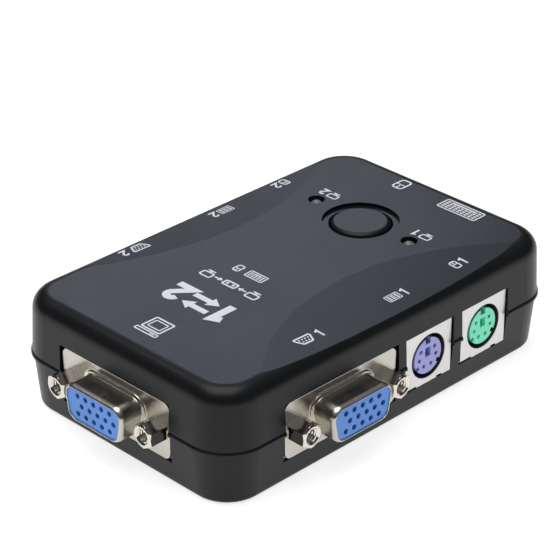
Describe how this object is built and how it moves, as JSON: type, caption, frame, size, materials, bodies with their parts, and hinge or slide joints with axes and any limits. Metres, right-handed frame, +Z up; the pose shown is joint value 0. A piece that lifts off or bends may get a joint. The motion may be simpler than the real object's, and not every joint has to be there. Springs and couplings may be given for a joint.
{
  "type": "kvm switch",
  "caption": "Flat rounded plastic switch box that shares a monitor, keyboard and mouse between computers: D-shaped video sockets, round colour-coded sockets and a round push button on top.",
  "frame": {"origin": "middle of the case's flat underside, on the desk plane", "axes": "+Z up; +X along the case, away from the monitor socket, towards the console keyboard and mouse sockets; +Y towards the computer 2 side"},
  "size_m": [0.1005, 0.0716, 0.025],
  "materials": {
    "case_plastic": "fine-grained satin ABS",
    "button_plastic": "satin ABS",
    "screw_steel": "zinc-plated steel",
    "board": "green solder mask over glass-epoxy laminate",
    "led_lens": "clear epoxy lens",
    "tinned_wire": "tinned wire",
    "switch_black": "black moulded plastic",
    "switch_white": "natural acetal",
    "spring_steel": "spring wire",
    "contact_gold": "gold-flashed copper alloy",
    "nickel_plate": "nickel-plated drawn steel",
    "nickel_screw": "bright nickel-plated steel",
    "tin_plate": "tin-plated sheet steel, satin",
    "blue_plastic": "moulded thermoplastic",
    "lilac_plastic": "moulded thermoplastic",
    "mint_plastic": "moulded thermoplastic"
  },
  "bodies": {
    "case": {"top_cover": "case_plastic", "bottom_cover": "case_plastic", "case_screws": "screw_steel", "circuit_board": "board", "led_pc1_lens": "led_lens", "led_pc2_lens": "led_lens", "led_pc1_leads": "tinned_wire", "led_pc2_leads": "tinned_wire", "switch_housing": "switch_black", "switch_lid": "switch_white", "switch_return_spring": "spring_steel", "switch_terminals": "contact_gold", "monitor_shell": "nickel_plate", "monitor_bracket": "nickel_plate", "monitor_insert": "blue_plastic", "monitor_contacts": "contact_gold", "monitor_jackscrews": "nickel_screw", "video_pc1_shell": "nickel_plate", "video_pc1_bracket": "nickel_plate", "video_pc1_insert": "blue_plastic", "video_pc1_contacts": "contact_gold", "video_pc1_jackscrews": "nickel_screw", "video_pc2_shell": "nickel_plate", "video_pc2_bracket": "nickel_plate", "video_pc2_insert": "blue_plastic", "video_pc2_contacts": "contact_gold", "video_pc2_jackscrews": "nickel_screw", "keyboard_pc1_shield": "tin_plate", "keyboard_pc1_insert": "lilac_plastic", "keyboard_pc1_contacts": "contact_gold", "mouse_pc1_shield": "tin_plate", "mouse_pc1_insert": "mint_plastic", "mouse_pc1_contacts": "contact_gold", "keyboard_pc2_shield": "tin_plate", "keyboard_pc2_insert": "lilac_plastic", "keyboard_pc2_contacts": "contact_gold", "mouse_pc2_shield": "tin_plate", "mouse_pc2_insert": "mint_plastic", "mouse_pc2_contacts": "contact_gold", "console_keyboard_shield": "tin_plate", "console_keyboard_insert": "lilac_plastic", "console_keyboard_contacts": "contact_gold", "console_mouse_shield": "tin_plate", "console_mouse_insert": "mint_plastic", "console_mouse_contacts": "contact_gold"},
    "button": {"button_cap": "button_plastic", "switch_plunger": "switch_white", "switch_moving_contacts": "contact_gold"}
  },
  "joints": [
    {"name": "button_press", "type": "slide", "parent": "case", "child": "button", "axis": [0, 0, -1], "range_m": [0, 0.0026], "stiffness_N_per_m": 500, "springref_m": -0.002, "deforming": ["switch_return_spring"]}
  ]
}
